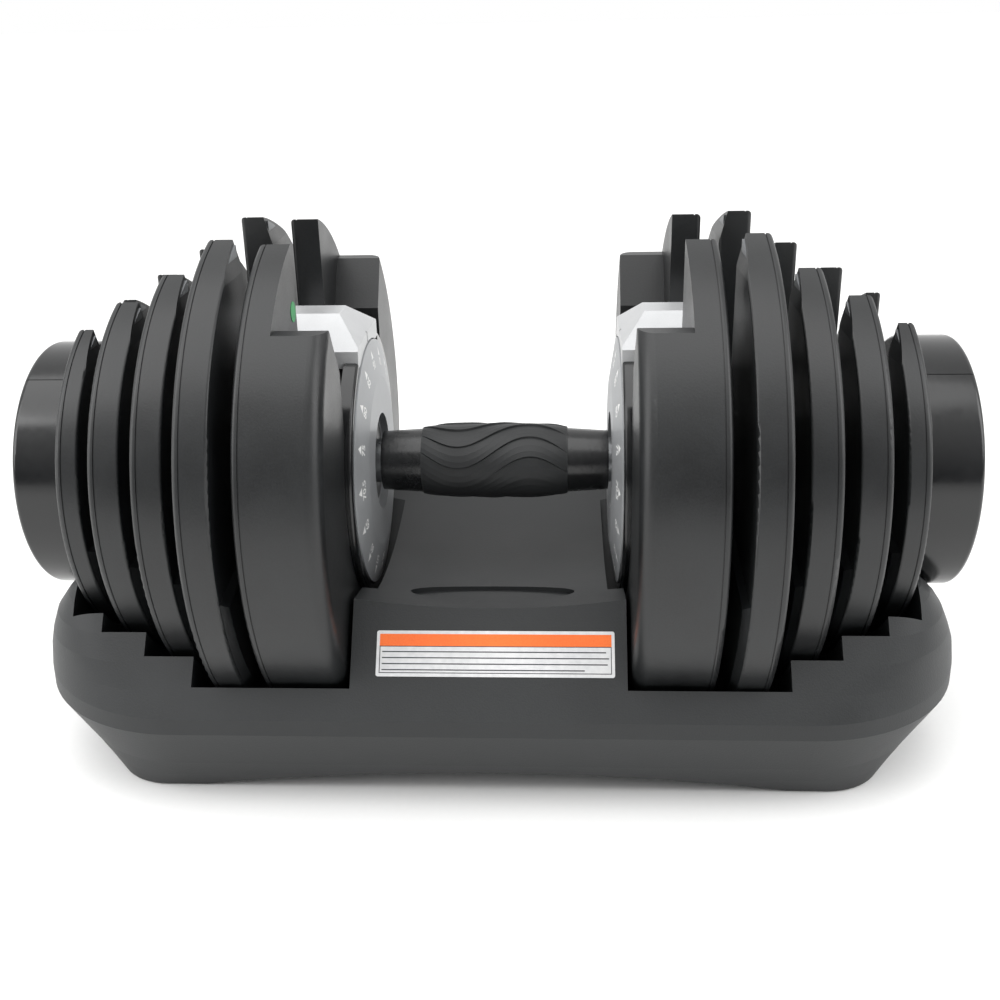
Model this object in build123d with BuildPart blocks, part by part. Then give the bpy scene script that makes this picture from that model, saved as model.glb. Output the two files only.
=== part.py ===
from build123d import *
import os
from math import cos, hypot, radians, sin, sqrt

os.makedirs("parts", exist_ok=True)

# An adjustable dumbbell standing in its tray. X runs along the handle, Y from the
# front to the rear, Z up. The origin is on the floor under the middle of the tray.
# Pieces of the right-hand end are drawn once and mirrored to the left.

# ---------------------------------------------------------------- handle and dial
axis_height = 131.5
running_fit = 0.06
turning_gap = 0.5

tube_radius = 11.0
grip_half_length = 56.0
grip_end_radius = 14.7
grip_core_radius = 16.8
grip_shoulder_radius = 16.0
grip_middle_radius = 19.0
grip_smooth_length = 20.0
grip_cover_edge = 0.9

dial_radius = 61.0
dial_face = 57.0
dial_rim_face = 60.2
dial_flat_radius = 42.0
dial_bore = 24.0
dial_hub_face = 60.5
dial_back = 62.5
dial_settings = 17

sleeve_radius = 21.0
bezel_width = 4.8
bezel_face = 60.8
bezel_round = 1.5
housing_plate = 4.5
hood_top = 78.0
hood_flat_half = 8.0
hood_half_width = 29.0
hood_side_top = 65.0
hood_bottom = 57.0
hood_slope = 11.0
hood_end = 99.0
hood_round = 0.8
index_width = 1.4
index_depth = 0.8

# ---------------------------------------------------------------- weight plates
# One value per plate, from the innermost to the outermost.
plate_radius = [120.0, 121.0, 106.0, 94.0, 82.0]
plate_thickness = [14.0, 15.0, 14.0, 14.0, 10.5]
plate_units = [6, 4, 3, 2, 1]
plate_gap = 9.0
cover_wall = 1.6
core_play = 0.1
slot_half = [32.0, 29.0, 29.0, 29.0, 29.0]
outer_round = 2.2
inner_round = 1.2
rim_line_inset = 3.2
rim_line_width = 0.6
rim_line_depth = 0.5
pad_height = 2.5
pad_inner_radius = 60.0
pad_start_angle = 9.0
pad_end_angle = 52.0
pad_ramp_angle = 2.0
tip_bevel = 4.5
tip_bevel_length = 14.0

block_face = 64.1
block_depth = 23.0
block_wall = 4.0
block_round = 7.0
block_opening_radius = 67.0
block_opening_half = 58.0
block_flare_start = 64.0
block_flare_half = 74.0
block_top = 87.4

dot_radius = 4.6
dot_thickness = 0.2
dot_forward = 38.0
dot_above_axis = 86.5

# ---------------------------------------------------------------- selector discs
disc_radius = 52.0
disc_web = 3.0
disc_side_gap = 1.5
rail_height = 5.0
rail_length = 3.0
lug_play = 0.5
lug_height = 6.0
lug_reach = 3.5
lug_half_angle = 8.0

# ---------------------------------------------------------------- end knob
knob_gap = 3.9
knob_length = 25.5
knob_radius = 61.0
knob_round = 2.5
knob_rim = 9.0
knob_web = 4.0
insert_half_angle = 30.0
insert_depth = 5.0
insert_play = 0.4
end_face_thickness = 3.0
end_face_recess = 0.5
screw_head_radius = 9.0
screw_head_height = 4.0
screw_shank_radius = 4.0
screw_shank_length = 24.0
washer_radius = 17.0
washer_thickness = 2.5

# ---------------------------------------------------------------- tray
tray_half_depth = 109.6
crease_height = 50.0
face_slope = 0.8
parting_end_height = 42.0
parting_middle_height = 53.0
parting_half_length = 170.0
shell_foot = 0.8
# Height, half length, half depth and corner radius of the level outlines below the crease.
lower_levels = [
    (shell_foot, 186.0, 90.0, 30.0),
    (10.0, 195.0, 95.0, 45.0),
    (20.0, 205.0, 100.0, 60.0),
    (parting_end_height, 221.5, tray_half_depth, 78.0),
]
# Height, half length and corner radius of those from the crease up.
upper_levels = [
    (crease_height, 222.0, 80.0),
    (60.0, 220.0, 68.0),
    (70.0, 215.0, 50.0),
    (80.0, 210.0, 36.0),
    (90.0, 202.0, 22.0),
    (95.0, 197.0, 16.0),
    (100.0, 190.0, 12.0),
]
lower_wall = 3.5
pocket_skin = 2.5
seat_gap = 0.4
# One value per pocket: the first pocket takes the two innermost plates.
pocket_lead = [3.5, 7.5, 11.0, 20.0]
pocket_side_gap = [8.9, 8.9, 6.9, 3.4]
bridge_half = 62.0
bridge_neck_half = 54.5
bridge_wall = 4.0
saddle_low = 78.0
saddle_radius = 264.0
saddle_side_rise = 4.0
scoop_gap = 3.2
recess_half_length = 39.0
recess_half_width = 12.0
recess_place = 52.0
recess_tilt = 15.4
recess_depth = 0.6
arch_half_length = 137.0
arch_rise = 13.0
arch_from = 74.0
tray_screw_x = [30.0, 148.0]
tray_screw_y = [58.0, 66.0]
boss_radius = 5.0
tray_screw_radius = 2.0
tray_screw_length = 14.0
tray_screw_head = 3.8
tray_screw_head_height = 1.6
rubber_length = 30.0
rubber_width = 10.0
rubber_sunk = 1.2
rubber_x = 148.0
rubber_y = 76.0

label_width = 107.0
label_height = 20.6
label_thickness = 0.3
label_corner = 1.0
label_shift = 3.0
label_above_crease = 30.26

# ---------------------------------------------------------------- worked-out places
axis_line = Axis((0, 0, axis_height), (1, 0, 0))
profile_plane = Plane(origin=(0, 0, axis_height), x_dir=(1, 0, 0), z_dir=(0, -1, 0))


def end_plane(x):
    """Plane across the handle at x: its own x runs to the rear, its y up."""
    return Plane(origin=(x, 0, axis_height), x_dir=(0, 1, 0), z_dir=(1, 0, 0))


plate_inner = []
plate_outer = []
next_face = block_face + block_depth
for thickness in plate_thickness:
    plate_inner.append(next_face)
    plate_outer.append(next_face + thickness)
    next_face += thickness + plate_gap

knob_inner = plate_outer[-1] + knob_gap
knob_outer = knob_inner + knob_length
knob_bore = knob_radius - knob_rim
head_face = knob_outer - end_face_recess - end_face_thickness - turning_gap
washer_face = head_face - screw_head_height
tube_end = washer_face - washer_thickness
sleeve_end = tube_end - turning_gap
housing_face = dial_back + turning_gap
bezel_inner = dial_radius + turning_gap
housing_radius = bezel_inner + bezel_width
step_angle = 360 / dial_settings
rail_inner = disc_radius - rail_height
lug_outer = rail_inner - lug_play
sleeve_bore = sleeve_radius + running_fit


def polar(radius, degrees):
    """Point at an angle from the rear, upwards, in an end plane."""
    return (radius * cos(radians(degrees)), radius * sin(radians(degrees)))


def selected(steps_down):
    """Which plates hang when the dial stands this many steps below its heaviest."""
    wanted = sum(plate_units) - steps_down
    chosen = []
    for units in plate_units:
        takes = units <= wanted
        chosen.append(takes)
        if takes:
            wanted -= units
    return chosen


def write_piece(piece, name):
    """Name one piece and write it."""
    piece.part.label = name
    export_step(piece.part, f"parts/{name}.step")


def write_pair(right, name):
    """Write a right-hand piece and its mirror image on the left."""
    write_piece(right, f"{name}_right")
    with BuildPart() as left:
        mirror(right.part, about=Plane.YZ)
    write_piece(left, f"{name}_left")


def slot_outline(radius, half):
    """Face of a plate: a disc with a round-bottomed slot from its centre up."""
    Circle(radius)
    Circle(half, mode=Mode.SUBTRACT)
    with Locations((0, radius)):
        Rectangle(2 * half, 2 * radius, mode=Mode.SUBTRACT)


def block_outline(radius, wall):
    """Face of the thick block on the first plate, drawn in by a wall all round."""
    half = block_opening_half + wall
    flare = block_flare_half + wall
    Circle(radius - wall)
    Circle(block_opening_radius + wall, mode=Mode.SUBTRACT)
    Polygon(
        (-half, 0),
        (half, 0),
        (half, block_flare_start),
        (flare, block_top),
        (flare, radius),
        (-flare, radius),
        (-flare, block_top),
        (-half, block_flare_start),
        align=None,
        mode=Mode.SUBTRACT,
    )
    with Locations((0, block_top - wall + radius)):
        Rectangle(2 * radius, 2 * radius, mode=Mode.SUBTRACT)


def ring_sector(inner, outer, start, end):
    """Part of a ring between two angles less than half a turn apart."""
    reach = 2 * outer
    Circle(outer)
    Circle(inner, mode=Mode.SUBTRACT)
    Polygon(
        (0, 0),
        polar(reach, start),
        polar(reach, (start + end) / 2),
        polar(reach, end),
        align=None,
        mode=Mode.INTERSECT,
    )


# ================================================================ handle
with BuildPart() as handle_tube:
    with BuildSketch(end_plane(-tube_end)):
        Circle(tube_radius)
    extrude(amount=2 * tube_end)
    for end in (-1, 1):
        with BuildSketch(end_plane(end * (tube_end - screw_shank_length))):
            Circle(screw_shank_radius)
        extrude(amount=end * screw_shank_length, mode=Mode.SUBTRACT)
write_piece(handle_tube, "handle_tube")

# The hard core of the grip shows glossy at both ends.
soft_half = grip_half_length - grip_smooth_length
with BuildPart() as grip_core:
    with BuildSketch(profile_plane):
        with BuildLine():
            Polyline(
                (-soft_half, grip_shoulder_radius),
                (-grip_half_length, grip_end_radius),
                (-grip_half_length, tube_radius),
                (grip_half_length, tube_radius),
                (grip_half_length, grip_end_radius),
                (soft_half, grip_shoulder_radius),
            )
            ThreePointArc(
                (soft_half, grip_shoulder_radius),
                (0, grip_core_radius),
                (-soft_half, grip_shoulder_radius),
            )
        make_face()
    revolve(axis=axis_line)
write_piece(grip_core, "grip_core")

# The soft cover is moulded over the middle of the core.
with BuildPart() as grip_cover:
    with BuildSketch(profile_plane):
        with BuildLine():
            ThreePointArc(
                (-soft_half, grip_shoulder_radius),
                (0, grip_core_radius),
                (soft_half, grip_shoulder_radius),
            )
            Line(
                (soft_half, grip_shoulder_radius),
                (soft_half, grip_shoulder_radius + grip_cover_edge),
            )
            ThreePointArc(
                (soft_half, grip_shoulder_radius + grip_cover_edge),
                (0, grip_middle_radius),
                (-soft_half, grip_shoulder_radius + grip_cover_edge),
            )
            Line(
                (-soft_half, grip_shoulder_radius + grip_cover_edge),
                (-soft_half, grip_shoulder_radius),
            )
        make_face()
    revolve(axis=axis_line)
write_piece(grip_cover, "grip_cover")

with BuildPart() as end_washers:
    for face in (washer_face, -tube_end):
        with BuildSketch(end_plane(face)):
            Circle(washer_radius)
            Circle(screw_shank_radius, mode=Mode.SUBTRACT)
        extrude(amount=-washer_thickness)
write_piece(end_washers, "end_washers")

with BuildPart() as end_screws:
    for end in (-1, 1):
        with BuildSketch(end_plane(end * washer_face)):
            Circle(screw_head_radius)
        extrude(amount=end * screw_head_height)
        with BuildSketch(end_plane(end * (tube_end - screw_shank_length + turning_gap))):
            Circle(screw_shank_radius - running_fit)
        extrude(amount=end * (screw_shank_length - turning_gap + washer_thickness))
write_piece(end_screws, "end_screws")

# The housing stands still behind the dial. Its hood fills the slot above it.
with BuildPart() as housing:
    with BuildSketch(end_plane(housing_face)):
        Circle(bezel_inner - core_play)
    extrude(amount=housing_plate)
    with BuildSketch(end_plane(bezel_face)):
        Polygon(
            (-hood_half_width, hood_bottom),
            (hood_half_width, hood_bottom),
            (hood_half_width, hood_side_top),
            (hood_flat_half, hood_top),
            (-hood_flat_half, hood_top),
            (-hood_half_width, hood_side_top),
            align=None,
        )
        Circle(bezel_inner, mode=Mode.SUBTRACT)
    extrude(amount=housing_face - bezel_face)
    with BuildSketch(end_plane(housing_face)):
        Polygon(
            (-hood_half_width, hood_bottom),
            (hood_half_width, hood_bottom),
            (hood_half_width, hood_side_top),
            (hood_flat_half, hood_top),
            (-hood_flat_half, hood_top),
            (-hood_half_width, hood_side_top),
            align=None,
        )
    extrude(amount=hood_end - housing_face)
    with BuildSketch(profile_plane):
        Polygon(
            (bezel_face - 1, housing_radius),
            (bezel_face, housing_radius),
            (bezel_face + hood_slope, hood_top),
            (bezel_face + hood_slope, hood_top + 1),
            (bezel_face - 1, hood_top + 1),
            align=None,
        )
    extrude(amount=hood_half_width + 1, both=True, mode=Mode.SUBTRACT)
    with BuildSketch(end_plane(bezel_face)):
        with Locations((0, housing_radius)):
            Rectangle(index_width, 2 * bezel_width)
    extrude(amount=index_depth, mode=Mode.SUBTRACT)
    with BuildSketch(end_plane(housing_face)):
        Circle(sleeve_bore)
    extrude(amount=housing_plate, mode=Mode.SUBTRACT)
    hood_ridges = housing.edges().filter_by(GeomType.LINE).group_by(Axis.Z)
    fillet(hood_ridges[-1] + hood_ridges[-2] + hood_ridges[-3], hood_round)
write_pair(housing, "housing")

# A black ring stands round the dial and the housing below the hood.
with BuildPart() as bezel:
    with BuildSketch(end_plane(bezel_face)):
        Circle(housing_radius)
        Circle(bezel_inner, mode=Mode.SUBTRACT)
        with Locations((0, housing_radius)):
            Rectangle(2 * (hood_half_width + core_play), 2 * housing_radius, mode=Mode.SUBTRACT)
    extrude(amount=housing_face + housing_plate - bezel_face)
    bezel_rim = bezel.edges().filter_by(GeomType.CIRCLE).group_by(SortBy.RADIUS)[-1]
    fillet(bezel_rim.sort_by(Axis.X)[0], bezel_round)
write_pair(bezel, "bezel")

# ================================================================ dial, sleeve and discs
with BuildPart() as number_dial:
    with BuildSketch(profile_plane):
        Polygon(
            (dial_face, dial_bore),
            (dial_face, dial_flat_radius),
            (dial_rim_face, dial_radius),
            (dial_back, dial_radius),
            (dial_back, sleeve_bore),
            (dial_hub_face, sleeve_bore),
            (dial_hub_face, dial_bore),
            align=None,
        )
    revolve(axis=axis_line)
write_pair(number_dial, "number_dial")

with BuildPart() as drive_sleeve:
    with BuildSketch(end_plane(dial_hub_face)):
        Circle(sleeve_radius)
        Circle(tube_radius + running_fit, mode=Mode.SUBTRACT)
    extrude(amount=sleeve_end - dial_hub_face)
write_pair(drive_sleeve, "drive_sleeve")

# Each disc carries its plate by the stretches of rail left on its rim.
for number, inner in enumerate(plate_inner):
    web_face = inner - plate_gap + disc_side_gap
    with BuildPart() as disc:
        with BuildSketch(end_plane(web_face)):
            Circle(disc_radius)
            Circle(sleeve_bore, mode=Mode.SUBTRACT)
        extrude(amount=disc_web)
        with BuildSketch(end_plane(web_face + disc_web)):
            Circle(disc_radius)
            Circle(rail_inner, mode=Mode.SUBTRACT)
            for step in range(dial_settings):
                if not selected(step)[number]:
                    middle = -90 + step * step_angle
                    Polygon(
                        (0, 0),
                        polar(2 * disc_radius, middle - step_angle / 2 - 0.1),
                        polar(2 * disc_radius, middle + step_angle / 2 + 0.1),
                        align=None,
                        mode=Mode.SUBTRACT,
                    )
        extrude(amount=rail_length)
    write_pair(disc, f"selector_disc_{number + 1}")

# ================================================================ end knob
# The knob is a cup, open outwards. An insert closes a gap along its top.
insert_floor = knob_radius - insert_depth
insert_reach = 2 * knob_radius
insert_half = insert_half_angle - insert_play
with BuildPart() as knob_cup:
    with BuildSketch(end_plane(knob_inner)):
        Circle(knob_radius)
        Circle(sleeve_bore, mode=Mode.SUBTRACT)
    extrude(amount=knob_length)
    fillet(knob_cup.edges().filter_by(GeomType.CIRCLE).group_by(SortBy.RADIUS)[-1], knob_round)
    with BuildSketch(end_plane(knob_inner + knob_web)):
        Circle(knob_bore)
    extrude(amount=knob_length - knob_web, mode=Mode.SUBTRACT)

with BuildPart() as knob:
    add(knob_cup.part)
    with BuildSketch(end_plane(knob_inner)):
        ring_sector(insert_floor, insert_reach, 90 - insert_half_angle, 90 + insert_half_angle)
    extrude(amount=knob_length, mode=Mode.SUBTRACT)
write_pair(knob, "knob")

with BuildPart() as knob_insert:
    add(knob_cup.part)
    with BuildSketch(end_plane(knob_inner)):
        ring_sector(insert_floor, insert_reach, 90 - insert_half, 90 + insert_half)
    extrude(amount=knob_length, mode=Mode.INTERSECT)
write_pair(knob_insert, "knob_insert")

with BuildPart() as end_face:
    with BuildSketch(end_plane(knob_outer - end_face_recess - end_face_thickness)):
        Circle(knob_bore - running_fit)
    extrude(amount=end_face_thickness)
    chamfer(end_face.faces().sort_by(Axis.X)[-1].edges(), end_face_recess)
write_pair(end_face, "end_face")

# ================================================================ weight plates
for number, radius in enumerate(plate_radius):
    inner = plate_inner[number]
    outer = plate_outer[number]
    half = slot_half[number]
    tip_height = sqrt(radius**2 - half**2)
    with BuildPart() as cavity:
        with BuildSketch(end_plane(inner + cover_wall)):
            slot_outline(radius - cover_wall, half + cover_wall)
        extrude(amount=outer - inner - 2 * cover_wall)
        if number == 0:
            with BuildSketch(end_plane(block_face + block_wall)):
                block_outline(radius, block_wall)
            extrude(amount=block_depth - block_wall + cover_wall)
    with BuildPart() as core:
        with BuildSketch(end_plane(inner + cover_wall + core_play)):
            slot_outline(radius - cover_wall - core_play, half + cover_wall + core_play)
        extrude(amount=outer - inner - 2 * (cover_wall + core_play))
        if number == 0:
            with BuildSketch(end_plane(block_face + block_wall + core_play)):
                block_outline(radius, block_wall + core_play)
            extrude(amount=block_depth - block_wall + cover_wall)
    write_pair(core, f"plate_core_{number + 1}")

    with BuildPart() as cover:
        with BuildSketch(end_plane(inner)):
            slot_outline(radius, half)
        extrude(amount=outer - inner)
        fillet(cover.faces().sort_by(Axis.X)[-1].edges(), outer_round)
        if number == 0:
            with BuildSketch(end_plane(block_face)):
                block_outline(radius, 0)
            extrude(amount=block_depth)
            face_edges = cover.faces().sort_by(Axis.X)[0].edges()
            fillet(face_edges.filter_by(GeomType.CIRCLE).group_by(SortBy.RADIUS)[-1], block_round)
        else:
            fillet(cover.faces().sort_by(Axis.X)[0].edges(), inner_round)
            for start, end in (
                (-pad_end_angle, -pad_start_angle),
                (180 + pad_start_angle, 180 + pad_end_angle),
            ):
                with BuildSketch(end_plane(inner - pad_height)):
                    ring_sector(
                        pad_inner_radius + pad_height,
                        radius - 2 * pad_height,
                        start + pad_ramp_angle,
                        end - pad_ramp_angle,
                    )
                with BuildSketch(end_plane(inner)):
                    ring_sector(pad_inner_radius, radius - inner_round, start, end)
                loft()
            with BuildSketch(profile_plane):
                Polygon(
                    (inner - pad_height, tip_height - tip_bevel_length),
                    (inner, tip_height - tip_bevel_length),
                    (inner + tip_bevel, radius + 1),
                    (inner - pad_height, radius + 1),
                    align=None,
                )
            extrude(amount=radius, both=True, mode=Mode.SUBTRACT)
        with BuildSketch(end_plane(inner)):
            ring_sector(lug_outer - lug_height, lug_outer, -90 - lug_half_angle, -90 + lug_half_angle)
        extrude(amount=-lug_reach)
        with BuildSketch(profile_plane):
            with Locations((outer - rim_line_inset, radius)):
                Rectangle(rim_line_width, 2 * rim_line_depth)
        revolve(axis=axis_line, mode=Mode.SUBTRACT)
        add(cavity.part, mode=Mode.SUBTRACT)
    write_pair(cover, f"plate_cover_{number + 1}")

# A small round dot is stuck on the inner face of the first left-hand plate's front horn.
with BuildPart() as green_dot:
    with BuildSketch(end_plane(-plate_inner[0])):
        with Locations((-dot_forward, dot_above_axis)):
            Circle(dot_radius)
    extrude(amount=dot_thickness)
write_piece(green_dot, "green_dot")

# ================================================================ tray
# The pockets are wider than their plates at the lip and close up to them at the bottom.
pocket_plate = [max(plate_radius[0], plate_radius[1])] + plate_radius[2:]
pocket_radius = [rim + lead for rim, lead in zip(pocket_plate, pocket_lead)]
pocket_lift = [lead - seat_gap for lead in pocket_lead]
pocket_wall = [bridge_half] + [
    face + gap for face, gap in zip(plate_outer[1:], pocket_side_gap)
]
saddle_height = saddle_low + saddle_radius
saddle_plane = Plane(origin=(0, 0, saddle_height), x_dir=(1, 0, 0), z_dir=(0, -1, 0))
saddle_axis = Axis((0, 0, saddle_height), (1, 0, 0))
tray_top = upper_levels[-1][0]
inside = bridge_neck_half - bridge_wall
slant = hypot(1, face_slope)


def face_half_depth(height):
    """Half depth of the upper shell at a height."""
    return tray_half_depth - max(height - crease_height, 0) * face_slope


def outline(half_length, half_depth, corner, inset):
    """Level outline of the tray, drawn in by an inset all round."""
    RectangleRounded(2 * (half_length - inset), 2 * (half_depth - inset), corner - inset)


tray_levels = lower_levels + [
    (height, half_length, face_half_depth(height), corner)
    for height, half_length, corner in upper_levels
]

with BuildPart() as tray_block:
    for height, half_length, half_depth, corner in tray_levels:
        with BuildSketch(Plane.XY.offset(height)):
            outline(half_length, half_depth, corner, 0)
    loft(ruled=True)

# What lies below the parting line, which arches up in the middle.
with BuildPart() as below_parting:
    with BuildSketch(Plane.XZ):
        reach = 2 * parting_half_length
        with BuildLine():
            ThreePointArc(
                (-parting_half_length, parting_end_height),
                (0, parting_middle_height),
                (parting_half_length, parting_end_height),
            )
            Polyline(
                (parting_half_length, parting_end_height),
                (reach, parting_end_height),
                (reach, -1),
                (-reach, -1),
                (-reach, parting_end_height),
                (-parting_half_length, parting_end_height),
            )
        make_face()
    extrude(amount=2 * tray_half_depth, both=True)

with BuildPart() as pocket_tubs:
    for end in (-1, 1):
        for number, radius in enumerate(pocket_radius):
            start = pocket_wall[number] - pocket_skin
            length = pocket_wall[number + 1] + pocket_skin - start
            with BuildSketch(end_plane(end * start)):
                with Locations((0, pocket_lift[number])):
                    Circle(radius + pocket_skin)
            extrude(amount=end * length)
    with BuildSketch(Plane.XY.offset(parting_middle_height + pocket_skin)):
        Rectangle(4 * pocket_wall[-1], 4 * tray_half_depth)
    extrude(amount=3 * axis_height, mode=Mode.SUBTRACT)

with BuildPart() as bridge_hollow:
    with BuildSketch(Plane.YZ.offset(-inside)):
        low = tray_half_depth - bridge_wall * slant
        high = face_half_depth(tray_top) - bridge_wall * slant
        Polygon(
            (-low, parting_end_height),
            (-low, crease_height),
            (-high, tray_top),
            (high, tray_top),
            (low, crease_height),
            (low, parting_end_height),
            align=None,
        )
    extrude(amount=2 * inside)
    with BuildSketch(Plane.YZ.offset(-inside)):
        with Locations((0, saddle_height)):
            Circle(saddle_radius + bridge_wall)
    extrude(amount=2 * inside, mode=Mode.SUBTRACT)

# A shallow oval recess in the front of the bridge runs out to nothing at its front.
recess_height = saddle_height - sqrt(saddle_radius**2 - recess_place**2) - recess_depth
recess_plane = Plane(
    origin=(0, -recess_place, recess_height),
    x_dir=(1, 0, 0),
    z_dir=(0, sin(radians(recess_tilt)), cos(radians(recess_tilt))),
)
with BuildPart() as tray_upper:
    add(tray_block.part)
    add(below_parting.part, mode=Mode.SUBTRACT)
    add(pocket_tubs.part)
    add(bridge_hollow.part, mode=Mode.SUBTRACT)
    for place in zip(tray_screw_x, tray_screw_y):
        with BuildSketch(Plane.XY.offset(shell_foot + lower_wall)):
            with GridLocations(2 * place[0], 2 * place[1], 2, 2):
                Circle(boss_radius)
        extrude(amount=tray_top - shell_foot - lower_wall)
    for end in (-1, 1):
        for number, radius in enumerate(pocket_radius):
            start = pocket_wall[number]
            with BuildSketch(end_plane(end * start)):
                with Locations((0, pocket_lift[number])):
                    Circle(radius)
            extrude(amount=end * (pocket_wall[number + 1] - start), mode=Mode.SUBTRACT)
        with BuildSketch(end_plane(end * pocket_wall[-1])):
            Circle(knob_radius + scoop_gap)
        extrude(amount=end * knob_length, mode=Mode.SUBTRACT)
        with BuildSketch(end_plane(end * bridge_neck_half)):
            Circle(housing_radius + scoop_gap)
        extrude(amount=end * (bridge_half - bridge_neck_half), mode=Mode.SUBTRACT)
    with BuildSketch(saddle_plane):
        side_radius = saddle_radius - saddle_side_rise
        with BuildLine():
            ThreePointArc((-bridge_half, side_radius), (0, saddle_radius), (bridge_half, side_radius))
            Polyline(
                (bridge_half, side_radius),
                (bridge_half, 0),
                (-bridge_half, 0),
                (-bridge_half, side_radius),
            )
        make_face()
    revolve(axis=saddle_axis, mode=Mode.SUBTRACT)
    with BuildSketch(recess_plane):
        Ellipse(recess_half_length, recess_half_width)
    extrude(amount=recess_half_width, mode=Mode.SUBTRACT)
    screw_base = shell_foot + tray_screw_head_height
    for place in zip(tray_screw_x, tray_screw_y):
        with BuildSketch(Plane.XY.offset(screw_base)):
            with GridLocations(2 * place[0], 2 * place[1], 2, 2):
                Circle(tray_screw_radius)
        extrude(amount=tray_screw_length, mode=Mode.SUBTRACT)
write_piece(tray_upper, "tray_upper")

# The lower shell is a tub with an arch cut under its front and rear walls.
with BuildPart() as tub_inside:
    for height, half_length, half_depth, corner in tray_levels[: len(lower_levels) + 2]:
        with BuildSketch(Plane.XY.offset(height)):
            outline(half_length, half_depth, corner, lower_wall)
    loft(ruled=True)
    with BuildSketch(Plane.XY.offset(shell_foot)):
        Rectangle(3 * lower_levels[0][1], 3 * tray_half_depth)
    extrude(amount=lower_wall, mode=Mode.SUBTRACT)

arch_radius = (arch_half_length**2 + arch_rise**2) / (2 * arch_rise)
with BuildPart() as tray_lower:
    add(tray_block.part)
    add(below_parting.part, mode=Mode.INTERSECT)
    add(tub_inside.part, mode=Mode.SUBTRACT)
    for side in (-1, 1):
        with BuildSketch(Plane.XZ.offset(side * arch_from)):
            with Locations((0, shell_foot + arch_rise - arch_radius)):
                Circle(arch_radius)
        extrude(amount=side * tray_half_depth, mode=Mode.SUBTRACT)
    with BuildSketch(Plane.XY.offset(shell_foot)):
        with GridLocations(2 * rubber_x, 2 * rubber_y, 2, 2):
            SlotOverall(rubber_length, rubber_width)
    extrude(amount=rubber_sunk, mode=Mode.SUBTRACT)
    for place in zip(tray_screw_x, tray_screw_y):
        with BuildSketch(Plane.XY.offset(shell_foot)):
            with GridLocations(2 * place[0], 2 * place[1], 2, 2):
                Circle(tray_screw_head + running_fit)
        extrude(amount=tray_screw_head_height, mode=Mode.SUBTRACT)
        with BuildSketch(Plane.XY.offset(shell_foot)):
            with GridLocations(2 * place[0], 2 * place[1], 2, 2):
                Circle(tray_screw_radius + running_fit)
        extrude(amount=lower_wall, mode=Mode.SUBTRACT)
write_piece(tray_lower, "tray_lower")

with BuildPart() as rubber_feet:
    with BuildSketch(Plane.XY):
        with GridLocations(2 * rubber_x, 2 * rubber_y, 2, 2):
            SlotOverall(rubber_length - 2 * running_fit, rubber_width - 2 * running_fit)
    extrude(amount=shell_foot + rubber_sunk)
write_piece(rubber_feet, "rubber_feet")

with BuildPart() as tray_screws:
    for place in zip(tray_screw_x, tray_screw_y):
        with BuildSketch(Plane.XY.offset(shell_foot)):
            with GridLocations(2 * place[0], 2 * place[1], 2, 2):
                Circle(tray_screw_head)
        extrude(amount=tray_screw_head_height)
        with BuildSketch(Plane.XY.offset(screw_base)):
            with GridLocations(2 * place[0], 2 * place[1], 2, 2):
                Circle(tray_screw_radius - running_fit)
        extrude(amount=tray_screw_length)
write_piece(tray_screws, "tray_screws")

# The label lies on the sloping front face under the bridge.
label_plane = Plane(
    origin=(
        label_shift,
        -tray_half_depth + label_above_crease * face_slope / slant,
        crease_height + label_above_crease / slant,
    ),
    x_dir=(1, 0, 0),
    z_dir=(0, -1, face_slope),
)
with BuildPart() as tray_label:
    with BuildSketch(label_plane):
        RectangleRounded(label_width, label_height, label_corner)
    extrude(amount=label_thickness)
write_piece(tray_label, "tray_label")
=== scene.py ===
import math

import bmesh
import bpy
from mathutils import Matrix, Vector


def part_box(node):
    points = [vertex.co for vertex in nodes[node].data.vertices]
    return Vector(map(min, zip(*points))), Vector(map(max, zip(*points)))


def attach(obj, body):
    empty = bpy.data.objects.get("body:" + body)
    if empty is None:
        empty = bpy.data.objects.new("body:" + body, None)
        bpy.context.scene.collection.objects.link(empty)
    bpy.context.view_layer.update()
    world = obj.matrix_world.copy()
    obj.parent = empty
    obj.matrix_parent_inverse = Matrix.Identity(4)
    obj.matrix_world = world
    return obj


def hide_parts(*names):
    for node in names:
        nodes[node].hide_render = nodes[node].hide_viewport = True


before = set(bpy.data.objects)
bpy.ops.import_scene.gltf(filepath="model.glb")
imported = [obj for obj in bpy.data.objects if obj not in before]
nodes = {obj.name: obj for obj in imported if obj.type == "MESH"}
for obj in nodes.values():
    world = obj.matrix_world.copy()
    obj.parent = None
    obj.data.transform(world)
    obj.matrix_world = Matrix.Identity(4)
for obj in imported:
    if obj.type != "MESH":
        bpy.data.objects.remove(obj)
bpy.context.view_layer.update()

# ---- Tray shells
# Two injection-moulded polypropylene shells, charcoal, screwed together from below.
# The mould is spark eroded, so the skin has a fine even grain that scatters the light.
MM = 0.001


def linear(colour):
    """Turns an sRGB hex colour, such as #2c2e2f, into linear red, green, blue and alpha."""
    parts = [int(colour[i : i + 2], 16) / 255 for i in (1, 3, 5)]
    return [c / 12.92 if c < 0.04045 else ((c + 0.055) / 1.055) ** 2.4 for c in parts] + [1.0]


def add(tree, kind, inputs, **settings):
    """Adds one shader node with its settings, and sets or links each of its inputs."""
    made = tree.nodes.new("ShaderNode" + kind)
    for name, value in settings.items():
        setattr(made, name, value)
    for name, value in inputs.items():
        if isinstance(value, bpy.types.NodeSocket):
            tree.links.new(value, made.inputs[name])
        else:
            made.inputs[name].default_value = value
    return made


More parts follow.
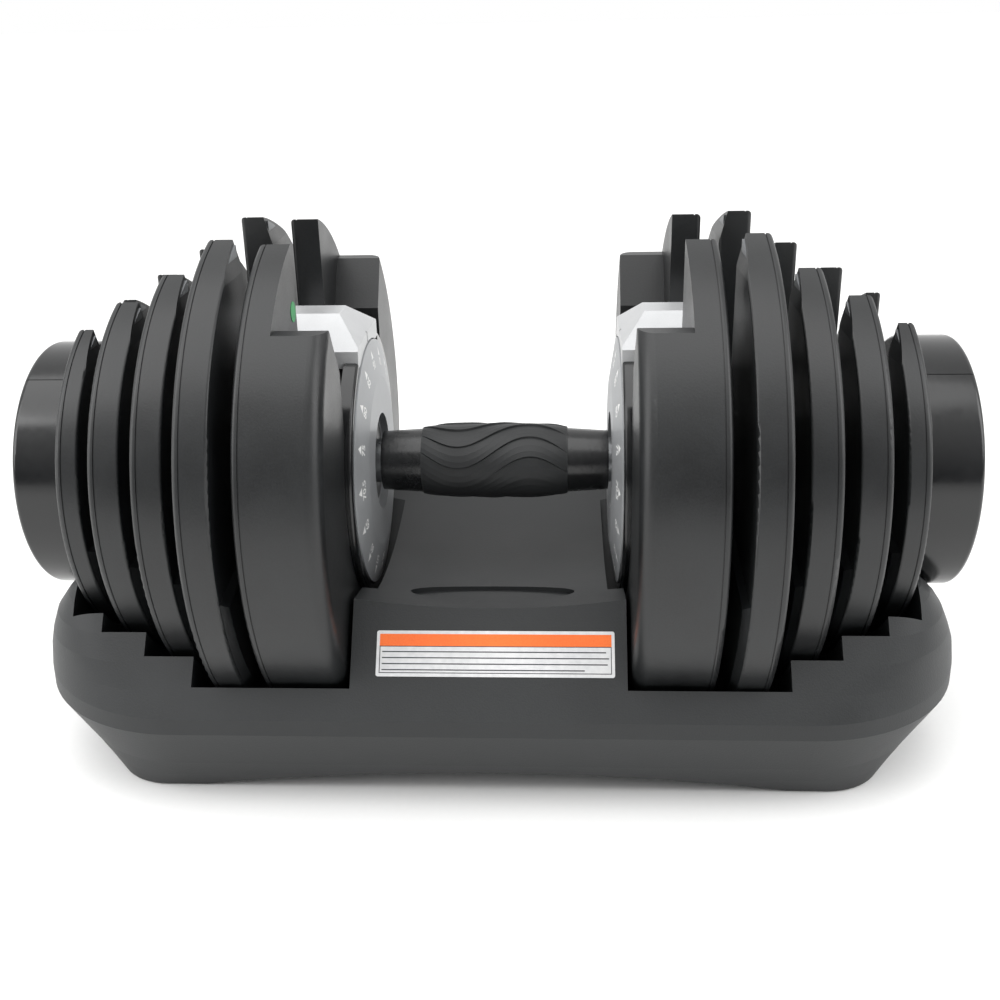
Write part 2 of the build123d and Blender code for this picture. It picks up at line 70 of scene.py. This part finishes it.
def begin_finish(name, metallic, ior):
    """Starts a material: its node tree, its main shader and the object's own coordinates."""
    made = bpy.data.materials.new(name)
    made.use_nodes = True
    tree = made.node_tree
    tree.nodes.clear()
    shader = add(tree, "BsdfPrincipled", {"Metallic": metallic, "IOR": ior})
    add(tree, "OutputMaterial", {"Surface": shader.outputs[0]})
    place = add(tree, "TexCoord", {}).outputs["Object"]
    return made, tree, shader, place


def moulded_finish(name, dark, light, rough, grain, depth, cloud=45 * MM, metallic=0.0, ior=1.5):
    """A moulded or painted skin: cloudy colour, a grain of its own size and an uneven gloss."""
    grain_share = 0.35
    gloss_spread = 0.06
    made, tree, shader, place = begin_finish(name, metallic, ior)
    clouds = add(tree, "TexNoise", {"Vector": place, "Scale": 1 / cloud, "Detail": 4.0})
    grains = add(tree, "TexNoise", {"Vector": place, "Scale": 1 / grain, "Detail": 2.0})
    both = add(tree, "Mix", {0: grain_share, 2: clouds.outputs[0], 3: grains.outputs[0]})
    tint = add(tree, "MapRange", {"Value": both.outputs[0], "From Min": 0.35, "From Max": 0.65})
    colour = add(
        tree,
        "Mix",
        {0: tint.outputs[0], 6: linear(dark), 7: linear(light)},
        data_type="RGBA",
    )
    gloss = add(
        tree,
        "MapRange",
        {
            "Value": both.outputs[0],
            "From Min": 0.3,
            "From Max": 0.7,
            "To Min": rough - gloss_spread,
            "To Max": rough + gloss_spread,
        },
    )
    bump = add(tree, "Bump", {"Height": grains.outputs[0], "Distance": depth, "Strength": 0.6})
    tree.links.new(colour.outputs[2], shader.inputs["Base Color"])
    tree.links.new(gloss.outputs[0], shader.inputs["Roughness"])
    tree.links.new(bump.outputs[0], shader.inputs["Normal"])
    return made


def finish_nodes(material, *names):
    """Gives carried-over parts their finish."""
    for name in names:
        mesh = nodes[name].data
        mesh.materials.clear()
        mesh.materials.append(material)


# The real grain is about 0.2 mm; it is drawn at 0.8 mm so that it shows.
tray_plastic = moulded_finish(
    "tray_polypropylene", "#1c1e1f", "#262829", 0.5, 0.8 * MM, 0.12 * MM, ior=1.49
)
finish_nodes(tray_plastic, "tray_upper", "tray_lower")

# ---- Feet and screws of the tray
# Four pressed-in pads of black rubber stop the tray from sliding. Eight zinc-plated
# self-tapping screws hold the lower shell to the bosses of the upper one.
foot_rubber = moulded_finish("foot_rubber", "#101010", "#191919", 0.75, 1.2 * MM, 0.1 * MM, ior=1.52)
finish_nodes(foot_rubber, "rubber_feet")
zinc = moulded_finish("zinc_plate", "#9a9da1", "#b4b7bb", 0.32, 0.5 * MM, 0.01 * MM, 6 * MM, 1.0)
finish_nodes(zinc, "tray_screws", "end_washers", "end_screws")

# ---- Label
# A silver vinyl label stuck on the sloping front face. A band of orange ink runs along
# its top, with a thin frame and plain ruled lines below, all screen printed.
label_vinyl = moulded_finish("label_vinyl", "#c9cacb", "#e2e2e2", 0.35, 2.5 * MM, 0.05 * MM)
finish_nodes(label_vinyl, "tray_label")
orange_ink = moulded_finish("orange_ink", "#f0631a", "#fb7a2c", 0.4, 0.6 * MM, 0.01 * MM)
black_ink = moulded_finish("black_ink", "#26272a", "#34363a", 0.45, 0.6 * MM, 0.01 * MM)

label_low, label_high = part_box("tray_label")
face_slope = 0.8
label_up = Vector((0, face_slope, 1)).normalized()
label_out = Vector((0, -1, face_slope)).normalized()
label_skin = 0.17 * MM
ink_thickness = 0.03 * MM
label_middle = (label_low + label_high) / 2 + label_out * label_skin
label_half = (label_high.x - label_low.x) / 2
label_tall = 10.3 * MM


def new_piece(name, shape, material, body):
    """Turns a bmesh into a piece that rides on a body and takes a slot's finish."""
    mesh = bpy.data.meshes.new(name)
    bmesh.ops.recalc_face_normals(shape, faces=shape.faces)
    shape.to_mesh(mesh)
    shape.free()
    mesh.materials.append(material)
    piece = bpy.data.objects.new(name, mesh)
    bpy.context.scene.collection.objects.link(piece)
    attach(piece, body)
    return piece


def add_slab(shape, corner, along, up, thickness):
    """Adds a thin slab: a corner, two edges and a thickness vector."""
    low = [shape.verts.new(corner + a * along + b * up) for a, b in ((0, 0), (1, 0), (1, 1), (0, 1))]
    high = [shape.verts.new(v.co + thickness) for v in low]
    shape.faces.new(low)
    shape.faces.new(high)
    for i in range(4):
        j = (i + 1) % 4
        shape.faces.new((low[i], low[j], high[j], high[i]))


def print_on_label(name, material, strips):
    """Prints strips of ink: left, right, bottom and top, in mm from the label's middle."""
    shape = bmesh.new()
    for left, right, bottom, top in strips:
        corner = label_middle + Vector((left * MM, 0, 0)) + label_up * bottom * MM
        along = Vector(((right - left) * MM, 0, 0))
        add_slab(shape, corner, along, label_up * (top - bottom) * MM, label_out * ink_thickness)
    return new_piece(name, shape, material, "tray")


border = 1.4
band_height = 5.4
line = 0.35
rule_margin = 1.2
rule_half = 0.25
rule_spacing = 2.7
side = label_half / MM - border
top = label_tall / MM - 1.5
band_bottom = top - band_height
print_on_label("label_band", orange_ink, [(-side, side, band_bottom, top)])
rules = [
    (-side, side, -top, -top + line),
    (-side, -side + line, -top, band_bottom),
    (side - line, side, -top, band_bottom),
    (-side, side, band_bottom - line, band_bottom),
]
for row, short_by in enumerate((2.5, 1.2, 1.8, 12)):
    height = band_bottom - 2.6 - rule_spacing * row
    rules.append((-side + rule_margin, side - short_by, height - rule_half, height + rule_half))
print_on_label("label_rules", black_ink, rules)

# ---- Weight plates
# Stacked steel leaves inside a moulded shell of charcoal nylon with softly rounded
# edges. The shell is matte, and handling leaves faint rubbed clouds on it.
plate_nylon = moulded_finish(
    "plate_nylon", "#111213", "#1c1e1f", 0.38, 0.9 * MM, 0.07 * MM, 30 * MM, ior=1.53
)
steel_leaf = moulded_finish("steel_leaf", "#77797b", "#8a8c8e", 0.45, 0.7 * MM, 0.02 * MM, 20 * MM, 1.0)
SIDES = (("left", -1), ("right", 1))
PLATES = range(1, 6)
for side_name, _ in SIDES:
    for number in PLATES:
        finish_nodes(plate_nylon, f"plate_cover_{number}_{side_name}")
        finish_nodes(steel_leaf, f"plate_core_{number}_{side_name}")

# ---- Green dot
# A round inspection sticker of green paper on the first left plate.
dot_paper = moulded_finish("dot_paper", "#1f8a48", "#3cab66", 0.5, 1.0 * MM, 0.02 * MM, 5 * MM)
finish_nodes(dot_paper, "green_dot")

# ---- Tube, sleeves and selector discs
# A turned steel tube runs right through. On it turn black sleeves that carry the
# selector discs, which are moulded in glass-filled black nylon.
turned_steel = moulded_finish("turned_steel", "#8e9092", "#a2a4a6", 0.3, 0.6 * MM, 0.01 * MM, 9 * MM, 1.0)
finish_nodes(turned_steel, "handle_tube")
sleeve_paint = moulded_finish("sleeve_paint", "#121314", "#1b1c1d", 0.38, 0.8 * MM, 0.03 * MM)
disc_nylon = moulded_finish("disc_nylon", "#161718", "#222324", 0.48, 0.7 * MM, 0.06 * MM, ior=1.53)
for side_name, _ in SIDES:
    finish_nodes(sleeve_paint, f"drive_sleeve_{side_name}")
    for number in PLATES:
        finish_nodes(disc_nylon, f"selector_disc_{number}_{side_name}")

# ---- Housings and dial rings
# Each housing is moulded in ABS and painted silver: the flakes in the paint glint, so
# its bevels catch bright lines. The ring round the dial is bare gloss black ABS.
silver_paint = moulded_finish(
    "silver_paint", "#b4b5b6", "#c6c7c8", 0.34, 0.35 * MM, 0.01 * MM, 25 * MM, 0.35
)
gloss_abs = moulded_finish("gloss_abs", "#0d0e0f", "#141516", 0.17, 3.0 * MM, 0.02 * MM, ior=1.54)
for side_name, _ in SIDES:
    finish_nodes(silver_paint, f"housing_{side_name}")
    finish_nodes(gloss_abs, f"bezel_{side_name}")

# ---- Number dials
# A shallow cone of silver-painted ABS. A white triangle and a number mark each of its
# seventeen settings, pad printed, with the heaviest at the top.
dial_paint = moulded_finish(
    "dial_paint", "#9c9ea0", "#aeb0b2", 0.42, 0.35 * MM, 0.01 * MM, 25 * MM, 0.25
)
white_ink = moulded_finish("white_ink", "#f0f0ee", "#fafaf8", 0.5, 0.5 * MM, 0.01 * MM, 4 * MM)

SETTINGS = (
    "90", "85", "80", "75", "70.5", "65", "60", "55", "50", "45", "40", "35", "30", "25", "20", "15", "10"
)
axis_height = (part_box("handle_tube")[0].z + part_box("handle_tube")[1].z) / 2
flat_radius = 42 * MM
number_radius = 49.8 * MM
mark_radius = 55.3 * MM
mark_half = 2.2 * MM
digit_height = 3.9 * MM
capital_share = 0.7
stroke_gain = 0.12 * MM
cone_depth = 3.2 * MM
ink_lift = 0.02 * MM


def number_mesh(text):
    """Flat digits of the right height, their middle at the origin."""
    curve = bpy.data.curves.new("digits", "FONT")
    curve.body = text
    curve.align_x = "CENTER"
    curve.align_y = "CENTER"
    curve.size = digit_height / capital_share
    curve.resolution_u = 4
    curve.offset = stroke_gain
    holder = bpy.data.objects.new("digits", curve)
    bpy.context.scene.collection.objects.link(holder)
    bpy.context.view_layer.update()
    mesh = bpy.data.meshes.new_from_object(holder)
    bpy.data.objects.remove(holder)
    bpy.data.curves.remove(curve)
    return mesh


digits = [number_mesh(text) for text in SETTINGS]
for side_name, hand in SIDES:
    low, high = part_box(f"number_dial_{side_name}")
    finish_nodes(dial_paint, f"number_dial_{side_name}")
    face = (low.x if hand > 0 else high.x) * hand
    rim_radius = (high.z - low.z) / 2
    tilt = math.atan2(cone_depth, rim_radius - flat_radius)
    shape = bmesh.new()
    for step, mesh in enumerate(digits):
        angle = math.radians(90 + step * 360 / len(SETTINGS))
        outward = Vector((0, math.cos(angle), math.sin(angle)))
        up = outward * math.cos(tilt) + Vector((hand * math.sin(tilt), 0, 0))
        normal = outward * math.sin(tilt) - Vector((hand * math.cos(tilt), 0, 0))
        right = up.cross(normal)

        def on_cone(radius):
            """Point on the dial's cone at a radius, a hair above the paint."""
            depth = face + (radius - flat_radius) * math.tan(tilt)
            return Vector((hand * depth, 0, axis_height)) + outward * radius + normal * ink_lift

        turn = Matrix((right, up, normal)).transposed().to_4x4()
        glyphs = mesh.copy()
        glyphs.transform(Matrix.Translation(on_cone(number_radius)) @ turn)
        shape.from_mesh(glyphs)
        base = on_cone(mark_radius)
        corners = [
            base - right * mark_half - up * mark_half,
            base + right * mark_half - up * mark_half,
            base + up * mark_half,
        ]
        shape.faces.new([shape.verts.new(c) for c in corners])
    new_piece(f"dial_numbers_{side_name}", shape, white_ink, f"dial_{side_name}")

# ---- Grip
# A hard glossy core with a soft cover moulded over its swollen middle. The cover is
# matte elastomer, and its surface steps down in long waves that the palm feels.
core_gloss = moulded_finish("grip_core_gloss", "#0e0f10", "#1a1b1c", 0.24, 2.2 * MM, 0.12 * MM, ior=1.53)
finish_nodes(core_gloss, "grip_core")
soft_elastomer = moulded_finish("soft_elastomer", "#1a1b1c", "#232526", 0.55, 0.7 * MM, 0.08 * MM, ior=1.52)

cover_low, cover_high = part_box("grip_cover")
cover_half = cover_high.x
cover_middle = (cover_high.z - cover_low.z) / 2
core_low, core_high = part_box("grip_core")
seam_depth = 0.1 * MM
cover_end = (core_high.z - core_low.z) / 2 - seam_depth
wave_height = 8.3 * MM
wave_length = 71 * MM
wave_count = 11
step_height = 1.0 * MM
swell_power = 4.5
wave_rows = (0.0, 0.04, 0.3, 0.6, 0.9, 0.98)
fade_length = 9 * MM
fade_power = 0.7
columns = 120
cover_shape = bmesh.new()
rings = []
for column in range(columns + 1):
    x = cover_half * (2 * column / columns - 1)
    swell = cover_end + (cover_middle - cover_end) * (1 - abs(x / cover_half) ** swell_power)
    fade = min(1, (cover_half - abs(x)) / fade_length) ** fade_power
    wave = wave_height * math.sin(2 * math.pi * x / wave_length)
    ring = []
    for row in range(wave_count * len(wave_rows)):
        share = wave_rows[row % len(wave_rows)]
        band = row // len(wave_rows) + share
        angle = 2 * math.pi * band / wave_count + wave / cover_middle
        lift = 1 - share if share else 0.0
        radius = swell - step_height * fade * (1 - lift)
        ring.append(
            cover_shape.verts.new((x, -radius * math.cos(angle), axis_height + radius * math.sin(angle)))
        )
    rings.append(ring)
for first, second in zip(rings, rings[1:]):
    for row in range(len(first)):
        after = (row + 1) % len(first)
        cover_shape.faces.new((first[row], second[row], second[after], first[after]))
cover_shape.faces.new(rings[0])
cover_shape.faces.new(rings[-1])
grip = new_piece("grip_waves", cover_shape, soft_elastomer, "handle")
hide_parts("grip_cover")

# ---- End knobs
# A deep cup of gloss black ABS that turns the whole end. An insert fills the gap in its
# top, which leaves two fine seams, and a round plate closes its face.
for side_name, _ in SIDES:
    finish_nodes(gloss_abs, f"knob_{side_name}", f"knob_insert_{side_name}", f"end_face_{side_name}")

# ---- Floor, light and camera
# A plain pale floor, a wide soft light overhead, a white wall behind and a dimmer room in
# front, with a soft box at each side.
floor_paint = moulded_finish("floor_paint", "#f4f4f3", "#f7f7f6", 0.8, 3 * MM, 0.02 * MM, 400 * MM)
floor_shape = bpy.data.meshes.new("floor")
reach = 20.0
floor_shape.from_pydata(
    [(-reach, -reach, 0), (reach, -reach, 0), (reach, reach, 0), (-reach, reach, 0)], [], [(0, 1, 2, 3)]
)
floor_shape.materials.append(floor_paint)
floor = bpy.data.objects.new("floor", floor_shape)
bpy.context.scene.collection.objects.link(floor)

world = bpy.data.worlds.new("studio")
bpy.context.scene.world = world
world.use_nodes = True
sky = world.node_tree
sky.nodes.clear()
direction = add(sky, "TexCoord", {}).outputs["Generated"]
dim_front = (0.2, 0.2, 0.21, 1)
white_wall = (1.0, 1.0, 1.0, 1)
parts = add(sky, "SeparateXYZ", {"Vector": direction})
above = add(sky, "MapRange", {"Value": parts.outputs[2], "From Min": 0.1, "From Max": 0.8})
behind = add(sky, "MapRange", {"Value": parts.outputs[1], "From Min": -0.1, "From Max": 0.2})
bright = add(sky, "Math", {0: above.outputs[0], 1: behind.outputs[0]}, operation="MAXIMUM")
shade = add(
    sky,
    "Mix",
    {0: bright.outputs[0], 6: dim_front, 7: white_wall},
    data_type="RGBA",
)
air = add(sky, "Background", {"Color": shade.outputs[2], "Strength": 1.0})
add(sky, "OutputWorld", {"Surface": air.outputs[0]})


def hang_light(name, kind, energy, place, target, **settings):
    """Hangs one lamp and aims it."""
    lamp = bpy.data.lights.new(name, kind)
    lamp.energy = energy
    for key, value in settings.items():
        setattr(lamp, key, value)
    holder = bpy.data.objects.new(name, lamp)
    holder.location = place
    aim = Vector(target) - Vector(place)
    holder.rotation_euler = aim.to_track_quat("-Z", "Y").to_euler()
    bpy.context.scene.collection.objects.link(holder)


middle = (0, 0, 0.12)
hang_light("overhead", "SUN", 1.4, (-0.3, -0.3, 2), middle, angle=math.radians(60))
hang_light("left_softbox", "AREA", 9, (-1.2, -0.5, 0.8), middle, shape="RECTANGLE", size=0.8, size_y=1.2)
hang_light("right_softbox", "AREA", 9, (1.2, -0.4, 0.9), middle, shape="RECTANGLE", size=0.8, size_y=1.2)

turn_left = 0.056
look_down = 0.381
lean = -0.023
ahead = Vector((
    -math.sin(turn_left) * math.cos(look_down),
    math.cos(turn_left) * math.cos(look_down),
    -math.sin(look_down),
))
level = Vector((math.cos(turn_left), math.sin(turn_left), 0))
upright = level.cross(ahead)
camera_right = math.cos(lean) * level + math.sin(lean) * upright
camera_up = math.cos(lean) * upright - math.sin(lean) * level
lens = bpy.data.cameras.new("camera")
lens.sensor_width = 36
lens.lens = 41.85
lens.shift_y = -0.0325
lens.clip_start = 0.01
camera = bpy.data.objects.new("camera", lens)
camera_place = (0.0325, -0.5425, 0.345)
camera.matrix_world = Matrix.Translation(camera_place) @ Matrix(
    (camera_right, camera_up, -ahead)
).transposed().to_4x4()
bpy.context.scene.collection.objects.link(camera)
bpy.context.scene.camera = camera
bpy.context.scene.view_settings.view_transform = "Standard"
